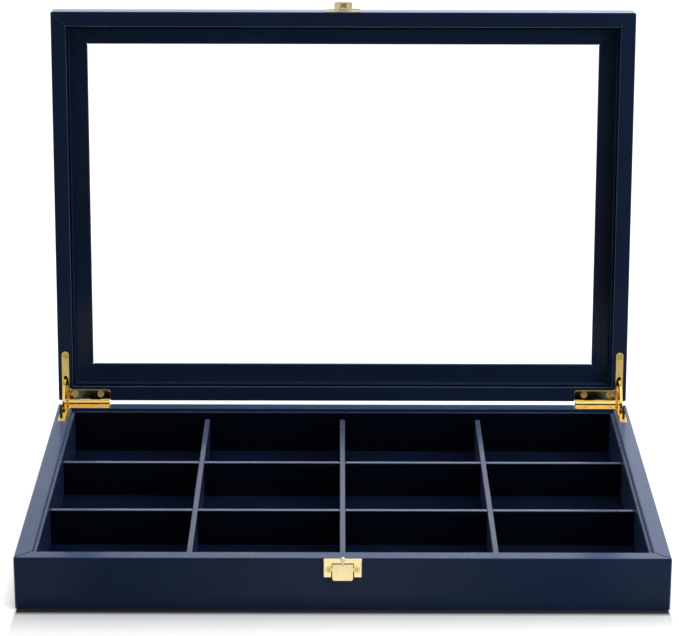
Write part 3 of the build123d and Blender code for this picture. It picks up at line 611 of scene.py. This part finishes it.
# Hinges, latch and keeper: pressed and turned brass, polished and lacquered, with plated screws and ball.
# Polishing leaves a mirror with faint long scratches along the tray's width, and the pressed edges are a
# little rounded, so that they catch the light. The keeper is left satin. The latch and the keeper take
# copies of the brass painted paler, the keeper's nearly white: painted light.
SCRATCH_RUN, SCRATCH_GAP = 10 / 3, 0.4
LACQUER_CLOUD = 3.0
FINE_BEVEL = 0.1
LEAF_BEVEL = 0.25
ARM_BEVEL = 0.3
LEVER_BEVEL = 0.2
KEEPER_BEVEL = 0.45


def polished_metal(name, colour, roughness):
    """Lacquered or plated metal: a mirror with fine scratches and slightly clouded lacquer."""
    finish = new_finish(name)
    spot = add(finish, "TexCoord").outputs["Object"]
    drawn = add(finish, "Mapping", {"Vector": spot,
                                    "Scale": (1000 / SCRATCH_RUN, 1000 / SCRATCH_GAP, 1000 / SCRATCH_GAP)})
    scratch = add(finish, "TexNoise", {"Vector": drawn.outputs[0], "Scale": 1.0, "Detail": 3.0})
    cloud = add(finish, "TexNoise", {"Vector": spot, "Scale": 1000 / LACQUER_CLOUD, "Detail": 2.0})
    gloss = add(finish, "MapRange", {"Value": cloud.outputs[0], "From Min": 0.3, "From Max": 0.7,
                                     "To Min": roughness * 0.75, "To Max": roughness * 1.35})
    shade = add(finish, "Mix", {0: cloud.outputs[0], 6: linear(colour[0]), 7: linear(colour[1])},
                data_type="RGBA")
    dent = add(finish, "Bump", {"Height": scratch.outputs[0], "Strength": 0.12, "Distance": 1e-5})
    metal = add(finish, "BsdfPrincipled", {"Base Color": shade.outputs[2], "Metallic": 1.0,
                                           "Roughness": gloss.outputs[0], "Normal": dent.outputs[0]})
    add(finish, "OutputMaterial", {"Surface": metal.outputs[0]})
    return finish


def pressed_copy(node, finish, body, bevel):
    """A CAD piece with its triangles joined and its edges rounded by the bevel in mm.

    Faces within a degree of each other become one, and edges that turn more than 34 degrees are rounded.
    """
    shell = bmesh.new()
    shell.from_mesh(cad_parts[node].data)
    bmesh.ops.remove_doubles(shell, verts=shell.verts, dist=2 * WELD)
    bmesh.ops.dissolve_limit(shell, angle_limit=radians(1.0), verts=shell.verts, edges=shell.edges)
    mesh = bpy.data.meshes.new(f"{node}_finished")
    shell.to_mesh(mesh)
    shell.free()
    mesh.materials.append(finish)
    piece = bpy.data.objects.new(mesh.name, mesh)
    bpy.context.scene.collection.objects.link(piece)
    if bevel:
        change = piece.modifiers.new("edges", "BEVEL")
        change.width = bevel * 0.001
        change.segments = 2
        change.limit_method = "ANGLE"
        change.angle_limit = radians(34)
        finished_mesh(piece)
    shade_soft(piece.data)
    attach(level_faces(piece), body)
    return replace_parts(piece, node)


brass = polished_metal("polished_brass", ("f2cf78", "fae092"), 0.09)
# Latch and keeper: the same brass painted paler, the keeper's nearly white, as painted light
latch_painted_light_brass = polished_metal("polished_brass_painted_pale", ("fbe6a8", "ffefc0"), 0.12)
keeper_painted_light_brass = polished_metal("satin_brass_painted_near_white", ("fff6d8", "fffae8"), 0.8)
ball_nickel = polished_metal("nickel_plated_ball", ("e8e6ee", "f6f4fa"), 0.25)
screw_brass = polished_metal("plated_screw_brass", ("fddc80", "ffeaa4"), 0.4)
spring_steel = polished_metal("spring_steel", ("b9bcc0", "cfd2d6"), 0.2)
for hand in HANDS:
    for half in ("base", "lid"):
        pressed_copy(f"{half}_hinge_leaf_{hand}", brass, half, LEAF_BEVEL)
    pressed_copy(f"hinge_pin_{hand}", brass, "base", FINE_BEVEL)
    pressed_copy(f"stay_arm_{hand}", brass, f"stay_arm_{hand}", ARM_BEVEL)
pressed_copy("base_hinge_screws", screw_brass, "base", FINE_BEVEL)
pressed_copy("lid_hinge_screws", screw_brass, "lid", FINE_BEVEL)
pressed_copy("latch_plate", latch_painted_light_brass, "base", FINE_BEVEL)
pressed_copy("latch_pin", brass, "base", 0)
pressed_copy("latch_spring", spring_steel, "base", 0)
pressed_copy("latch_screws", screw_brass, "base", FINE_BEVEL)
lever = pressed_copy("latch_lever", latch_painted_light_brass, "latch_lever", LEVER_BEVEL)
pressed_copy("latch_keeper", keeper_painted_light_brass, "lid", KEEPER_BEVEL)
pressed_copy("keeper_screws", screw_brass, "lid", FINE_BEVEL)

# The lever's snap ball is nickel plated down to its stem
BALL_CENTRE = (0.0, -123.2, 30.85)
BALL_RADIUS = 1.35
BALL_SKIN = 1.02
centres = np.empty(3 * len(lever.data.polygons))
lever.data.polygons.foreach_get("center", centres)
from_ball = np.linalg.norm(1000 * centres.reshape(-1, 3) - BALL_CENTRE, axis=1)
lever.data.materials.append(ball_nickel)
on_ball = from_ball < BALL_SKIN * BALL_RADIUS
lever.data.polygons.foreach_set("material_index", on_ball.astype(np.int32))


# A pale floor that runs out of sight, and a white studio round it. The floor takes the tray's shadow and
# is white to the camera where nothing shades it, with a painted shadow at the tray's front foot. In
# reflections both are white as well, but dim in front of the tray, where the camera stands, apart from
# painted pools of light on the floor.
FLOOR_REACH = 12.0
SIDE_AT, FRONT_AT = TRAY_WIDTH / 2000, TRAY_DEPTH / 2000
FRONT_FLOOR = 0.06
FLANK_FLOOR = 0.7
WHITE = (1, 1, 1, 1)


def seen_and_mirrored(finish):
    """Whether a ray comes from the camera, straight or through glass, and whether it comes by a mirror.

    Seen is camera, or transmission with no glossy bounce yet. By a mirror is glossy or transmission, less
    what is seen.
    """
    light = add(finish, "LightPath")
    straight = add(finish, "Math", {0: light.outputs["Glossy Depth"], 1: 0.5}, operation="LESS_THAN")
    passed = add(finish, "Math", {0: light.outputs["Is Transmission Ray"], 1: straight.outputs[0]},
                 operation="MULTIPLY")
    seen = add(finish, "Math", {0: light.outputs["Is Camera Ray"], 1: passed.outputs[0]},
               operation="MAXIMUM")
    either = add(finish, "Math", {0: light.outputs["Is Glossy Ray"], 1: light.outputs["Is Transmission Ray"]},
                 operation="MAXIMUM")
    return seen, add(finish, "Math", {0: either.outputs[0], 1: seen.outputs[0]}, operation="SUBTRACT",
                     use_clamp=True)


floor_mesh = bpy.data.meshes.new("floor")
floor_mesh.from_pydata([(-FLOOR_REACH, -FLOOR_REACH, 0), (FLOOR_REACH, -FLOOR_REACH, 0),
                        (FLOOR_REACH, FLOOR_REACH, 0), (-FLOOR_REACH, FLOOR_REACH, 0)], [], [(0, 1, 2, 3)])
floor = bpy.data.objects.new("floor", floor_mesh)
bpy.context.scene.collection.objects.link(floor)
floor_white = new_finish("white_floor")
spot = add(floor_white, "TexCoord").outputs["Object"]
where = add(floor_white, "SeparateXYZ", {0: spot})

# How far a point lies in front of the tray; beside it and behind it, the floor counts as far in front
beside = add(floor_white, "Math", {0: where.outputs["X"]}, operation="ABSOLUTE")
aside = add(floor_white, "MapRange", {"Value": beside.outputs[0], "From Min": SIDE_AT - 0.001,
                                      "From Max": SIDE_AT + 0.01, "To Min": 0.0, "To Max": 0.3})
behind = add(floor_white, "MapRange", {"Value": where.outputs["Y"], "From Min": 0.0, "From Max": 0.1})
open_floor = add(floor_white, "Math", {0: aside.outputs[0], 1: behind.outputs[0]}, operation="MAXIMUM")
before = add(floor_white, "Math", {0: where.outputs["Y"], 1: -1.0, 2: -FRONT_AT}, operation="MULTIPLY_ADD")
before = add(floor_white, "Math", {0: before.outputs[0], 1: open_floor.outputs[0]}, operation="MAXIMUM")

# To the camera the floor is lifted to white by a painted glow, in two steps away from the tray, and it
# carries a painted shadow: dark in a line a few millimetres wide at the tray's foot and in a soft band beyond
rise = add(floor_white, "MapRange", {"Value": before.outputs[0], "From Min": 0.004, "From Max": 0.03,
                                     "To Min": 0.0, "To Max": 0.2})
lift = add(floor_white, "MapRange", {"Value": before.outputs[0], "From Min": 0.03, "From Max": 0.3,
                                     "To Min": 0.0, "To Max": 0.35})
lift = add(floor_white, "Math", {0: rise.outputs[0], 1: lift.outputs[0]}, operation="ADD")
# Painted shadow: a dark line at the tray's front foot
painted_contact_shadow = add(floor_white, "MapRange", {"Value": before.outputs[0], "From Min": 0.003, "From Max": 0.007,
                                        "To Min": 0.03, "To Max": 0.7})
shade = add(floor_white, "MapRange", {"Value": before.outputs[0], "From Min": 0.007, "From Max": 0.04,
                                      "To Min": 0.0, "To Max": 0.2})
shade = add(floor_white, "Math", {0: painted_contact_shadow.outputs[0], 1: shade.outputs[0]}, operation="ADD")
shade = add(floor_white, "CombineColor", {0: shade.outputs[0], 1: shade.outputs[0], 2: shade.outputs[0]})
matt = add(floor_white, "BsdfDiffuse", {"Color": shade.outputs[0]})
glow = add(floor_white, "Emission", {"Color": WHITE, "Strength": lift.outputs[0]})
lit = add(floor_white, "AddShader", {0: matt.outputs[0], 1: glow.outputs[0]})
seen, by_mirror = seen_and_mirrored(floor_white)
lifted = add(floor_white, "MixShader", {0: seen.outputs[0], 1: matt.outputs[0], 2: lit.outputs[0]})

# In reflections it glows white behind the tray, in a painted pool of light before the latch and less so
# before both ends of the front, and it is dark elsewhere, with painted shade right at the tray's foot
back = add(floor_white, "MapRange", {"Value": where.outputs["Y"], "From Min": -0.1, "From Max": 0.0,
                                     "To Min": FRONT_FLOOR, "To Max": 1.0})
painted_light_pool = add(floor_white, "MapRange", {"Value": beside.outputs[0], "From Min": 0.03, "From Max": 0.12,
                                     "To Min": 1.0, "To Max": 0.0})
reach = add(floor_white, "MapRange", {"Value": before.outputs[0], "From Min": 0.25, "From Max": 0.5,
                                      "To Min": 1.0, "To Max": 0.0})
painted_light_pool = add(floor_white, "Math", {0: painted_light_pool.outputs[0], 1: reach.outputs[0]}, operation="MULTIPLY")
flank = add(floor_white, "MapRange", {"Value": beside.outputs[0], "From Min": 0.13, "From Max": 0.16,
                                      "To Min": 0.0, "To Max": FLANK_FLOOR})
flank = add(floor_white, "Math", {0: flank.outputs[0], 1: reach.outputs[0]}, operation="MULTIPLY")
near = add(floor_white, "Math", {0: back.outputs[0], 1: painted_light_pool.outputs[0]}, operation="MAXIMUM")
near = add(floor_white, "Math", {0: near.outputs[0], 1: flank.outputs[0]}, operation="MAXIMUM")
foot = add(floor_white, "MapRange", {"Value": before.outputs[0], "From Min": 0.004, "From Max": 0.02})
near = add(floor_white, "Math", {0: near.outputs[0], 1: foot.outputs[0]}, operation="MULTIPLY")
mirrored = add(floor_white, "Emission", {"Color": WHITE, "Strength": near.outputs[0]})
surface = add(floor_white, "MixShader", {0: by_mirror.outputs[0], 1: lifted.outputs[0],
                                         2: mirrored.outputs[0]})
add(floor_white, "OutputMaterial", {"Surface": surface.outputs[0]})
floor_mesh.materials.append(floor_white)

# The studio: even light from all round for what it lights, and white where it is seen. In reflections it
# is white as well, a little brighter on the right, apart from the dim room in front up to a low height,
# which ends at a white card on the right.
EVEN_LIGHT = 0.6
DIM_ROOM = linear("46382a")
studio = bpy.data.worlds.new("studio")
studio.use_nodes = True
studio.node_tree.nodes.clear()
bpy.context.scene.world = studio
way = add(studio, "SeparateXYZ", {0: add(studio, "TexCoord").outputs["Generated"]})
ahead = add(studio, "MapRange", {"Value": way.outputs["Y"], "From Min": -0.75, "From Max": -0.45})
overhead = add(studio, "MapRange", {"Value": way.outputs["Z"], "From Min": 0.3, "From Max": 0.5})
right_card = add(studio, "MapRange", {"Value": way.outputs["X"], "From Min": 0.25, "From Max": 0.5})
bright = add(studio, "Math", {0: ahead.outputs[0], 1: overhead.outputs[0]}, operation="MAXIMUM")
bright = add(studio, "Math", {0: bright.outputs[0], 1: right_card.outputs[0]}, operation="MAXIMUM")
even = add(studio, "Background", {"Color": WHITE, "Strength": EVEN_LIGHT})
turned = add(studio, "MapRange", {"Value": way.outputs["X"], "From Min": -0.12, "From Max": 0.12,
                                  "To Min": 0.8, "To Max": 1.25})
room = add(studio, "Mix", {0: bright.outputs[0], 6: DIM_ROOM, 7: WHITE}, data_type="RGBA")
mirrored = add(studio, "Background", {"Color": room.outputs[2], "Strength": turned.outputs[0]})
white = add(studio, "Background", {"Color": WHITE, "Strength": 1.0})
seen, by_mirror = seen_and_mirrored(studio)
choose = add(studio, "MixShader", {0: by_mirror.outputs[0], 1: even.outputs[0],
                                   2: mirrored.outputs[0]})
choose = add(studio, "MixShader", {0: seen.outputs[0], 1: choose.outputs[0], 2: white.outputs[0]})
add(studio, "OutputWorld", {"Surface": choose.outputs[0]})

# Soft boxes, square: a wide one overhead, a weak one on the left and a low one close on the right. Metal
# and glass show the studio round them, and not the boxes. Widths are in metres and powers in watts.
for name, stand, aim, width, power in (
        ("overhead", (0.0, -0.1, 1.6), (0, 0, 0), 1.6, 6.0),
        ("front_left", (-1.3, -1.2, 0.9), (0, 0, 0.05), 0.9, 0.8),
        ("right", (0.7, -0.6, 0.35), (0, 0, 0.1), 0.5, 6.5)):
    lamp = bpy.data.lights.new(name, "AREA")
    lamp.size = width
    lamp.energy = power
    holder = bpy.data.objects.new(name, lamp)
    holder.location = stand
    holder.rotation_euler = (Vector(aim) - Vector(stand)).to_track_quat("-Z", "Y").to_euler()
    holder.visible_glossy = False
    holder.visible_transmission = False
    bpy.context.scene.collection.objects.link(holder)

# The camera stands 1.4 m in front and looks down 18 degrees, as fitted to the tray's edges. The lens's
# focal length and the middle of its view are in pixels of the photograph's frame.
EYE = Vector((-0.0025, -1.4166, 0.588))
PITCH, YAW, ROLL = radians(18.067), radians(-0.054), radians(0.137)
LENS_PIXELS = 2649.0
IMAGE_WIDTH, IMAGE_HEIGHT = 679, 636
SENSOR = 36.0
MIDDLE = (340.9, 316.6)
lens = bpy.data.cameras.new("camera")
lens.sensor_fit = "HORIZONTAL"
lens.sensor_width = SENSOR
lens.lens = LENS_PIXELS * SENSOR / IMAGE_WIDTH
lens.shift_x = (IMAGE_WIDTH / 2 - MIDDLE[0]) / IMAGE_WIDTH
lens.shift_y = (MIDDLE[1] - IMAGE_HEIGHT / 2) / IMAGE_WIDTH
camera = bpy.data.objects.new("camera", lens)
bpy.context.scene.collection.objects.link(camera)
turn = Matrix.Rotation(YAW, 3, "Z")
right = turn @ Vector((1, 0, 0))
ahead = turn @ Vector((0, cos(PITCH), -sin(PITCH)))
up = turn @ Vector((0, sin(PITCH), cos(PITCH)))
right, up = right * cos(ROLL) + up * sin(ROLL), up * cos(ROLL) - right * sin(ROLL)
frame_of_view = Matrix((right, up, -ahead)).transposed().to_4x4()
frame_of_view.translation = EYE
camera.matrix_world = frame_of_view
bpy.context.scene.camera = camera
bpy.context.scene.view_settings.view_transform = "Standard"
